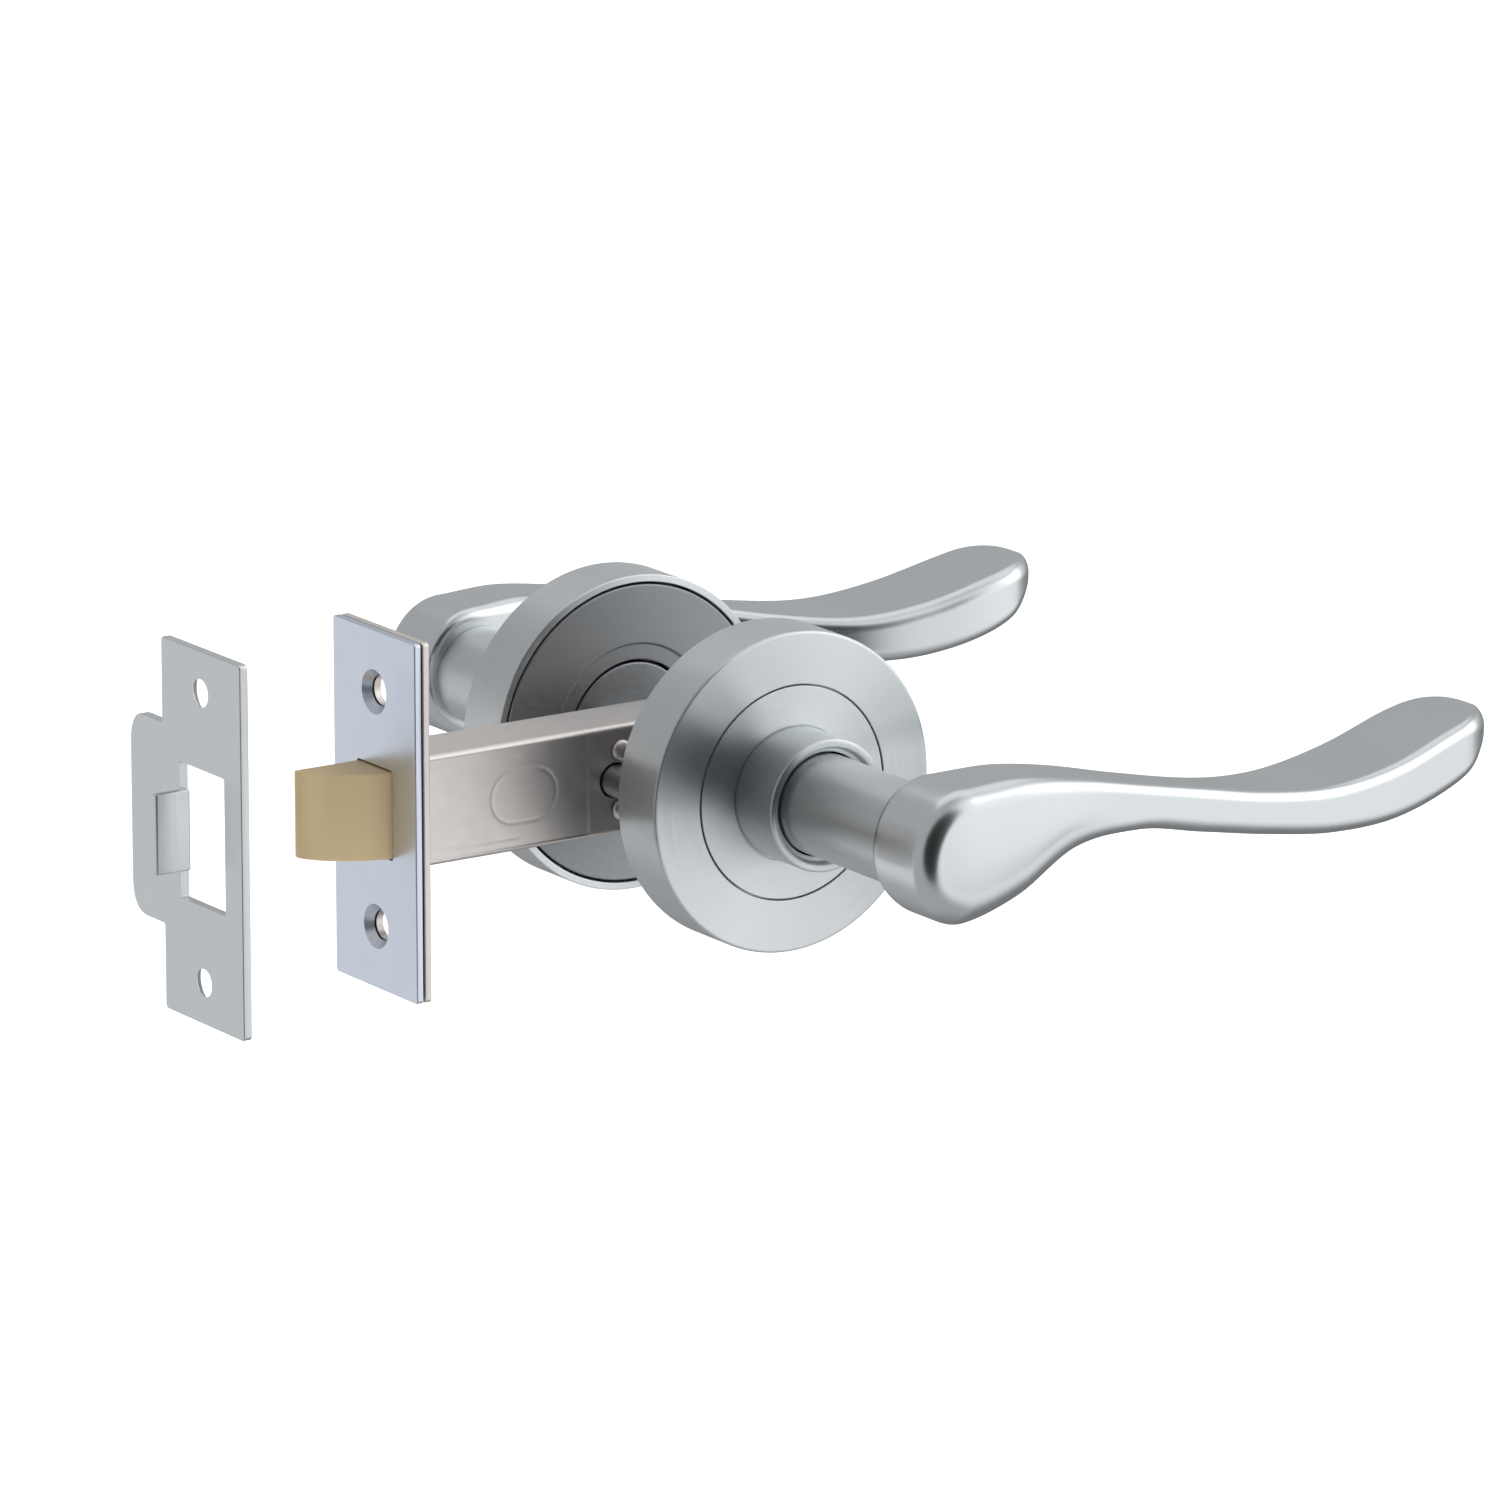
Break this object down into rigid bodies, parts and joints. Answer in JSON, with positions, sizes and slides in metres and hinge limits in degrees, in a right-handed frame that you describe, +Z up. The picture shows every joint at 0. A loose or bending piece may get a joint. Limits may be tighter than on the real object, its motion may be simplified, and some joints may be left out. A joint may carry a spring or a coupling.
{
  "type": "door lever handle set",
  "caption": "Pair of sprung wave-shaped lever handles on round roses, with spindle, tubular latch with rounded-bevel bolt, and lipped strike plate, as fitted to a 35 mm door.",
  "frame": {"origin": "on the spindle axis, in the plane of the door's front face, where the front rose rests", "axes": "+X along the levers, away from the door's edge; -Y out of the front of the door, towards the person who holds the front lever; +Z up"},
  "size_m": [0.205, 0.158, 0.06],
  "materials": {
    "lever_satin_chrome": "satin chrome plate, brushed along the grip and neck",
    "rose_satin_chrome": "satin chrome plate, brushed in circles on the face",
    "boss_satin_chrome": "satin chrome plate, brushed in circles",
    "strike_satin_chrome": "satin chrome plate, brushed along its height",
    "zinc_casting": "zinc die casting, matt grey",
    "zinc_plated_steel": "bright zinc plate",
    "spring_steel": "oiled dark spring wire",
    "black_nylon": "moulded nylon, matt",
    "nickel_plated_steel": "nickel plate over pressed sheet, slightly warm",
    "bright_chrome_plate": "bright chrome plate, mirror-like",
    "bolt_brass": "sintered brass, satin",
    "follower_brass": "cast brass, turned rim"
  },
  "bodies": {
    "door_side": {"front_rose_cover": "rose_satin_chrome", "rear_rose_cover": "rose_satin_chrome", "front_rose_boss": "boss_satin_chrome", "rear_rose_boss": "boss_satin_chrome", "front_mounting_plate": "zinc_casting", "rear_mounting_plate": "zinc_casting", "front_spring_housing": "zinc_casting", "rear_spring_housing": "zinc_casting", "front_return_spring": "spring_steel", "rear_return_spring": "spring_steel", "front_neck_bush": "black_nylon", "rear_neck_bush": "black_nylon", "front_thrust_washer": "zinc_casting", "rear_thrust_washer": "zinc_casting", "front_housing_screw_upper": "zinc_plated_steel", "rear_housing_screw_upper": "zinc_plated_steel", "front_housing_screw_lower": "zinc_plated_steel", "rear_housing_screw_lower": "zinc_plated_steel", "sleeve_nut_latch_side": "zinc_plated_steel", "sleeve_nut_hinge_side": "zinc_plated_steel", "through_bolt_latch_side": "zinc_plated_steel", "through_bolt_hinge_side": "zinc_plated_steel", "latch_case": "nickel_plated_steel", "latch_faceplate": "bright_chrome_plate", "latch_inner_forend": "nickel_plated_steel", "latch_anchor_block": "black_nylon", "latch_rivet_upper": "nickel_plated_steel", "latch_rivet_lower": "nickel_plated_steel", "latch_rivet_rear": "nickel_plated_steel", "latch_spring": "spring_steel"},
    "front_lever": {"front_lever": "lever_satin_chrome", "front_circlip": "spring_steel", "front_drive_hub": "zinc_casting", "front_grub_screw": "spring_steel", "spindle": "zinc_plated_steel"},
    "rear_lever": {"rear_lever": "lever_satin_chrome", "rear_circlip": "spring_steel", "rear_drive_hub": "zinc_casting", "rear_grub_screw": "spring_steel"},
    "follower": {"latch_follower": "follower_brass"},
    "latch_bolt": {"latch_bolt": "bolt_brass", "latch_carriage": "zinc_plated_steel"},
    "strike": {"strike_plate": "strike_satin_chrome"}
  },
  "joints": [
    {"name": "front_lever_turn", "type": "hinge", "parent": "door_side", "child": "front_lever", "pos_m": [0, 0, 0], "axis": [0, 1, 0], "range_deg": [0, 60], "stiffness_Nm_per_rad": 1, "springref_deg": -34.38, "deforming": ["front_return_spring"]},
    {"name": "rear_lever_turn", "type": "hinge", "parent": "door_side", "child": "rear_lever", "pos_m": [0, 0.035, 0], "axis": [0, 1, 0], "range_deg": [0, 60], "deforming": ["rear_return_spring"]},
    {"name": "follower_turn", "type": "hinge", "parent": "door_side", "child": "follower", "pos_m": [0, 0.0175, 0], "axis": [0, 1, 0], "range_deg": [0, 60]},
    {"name": "latch_bolt_slide", "type": "slide", "parent": "door_side", "child": "latch_bolt", "axis": [1, 0, 0], "range_m": [0, 0.0096], "deforming": ["latch_spring"]},
    {"name": "strike_slide", "type": "slide", "parent": "door_side", "child": "strike", "axis": [1, 0, 0], "range_m": [0, 0.027]}
  ],
  "couplings": [
    {"joint": "rear_lever_turn", "follows": "front_lever_turn", "ratio": 1},
    {"joint": "follower_turn", "follows": "front_lever_turn", "ratio": 1},
    {"joint": "latch_bolt_slide", "follows": "front_lever_turn", "m_per_rad": 0.00916}
  ]
}
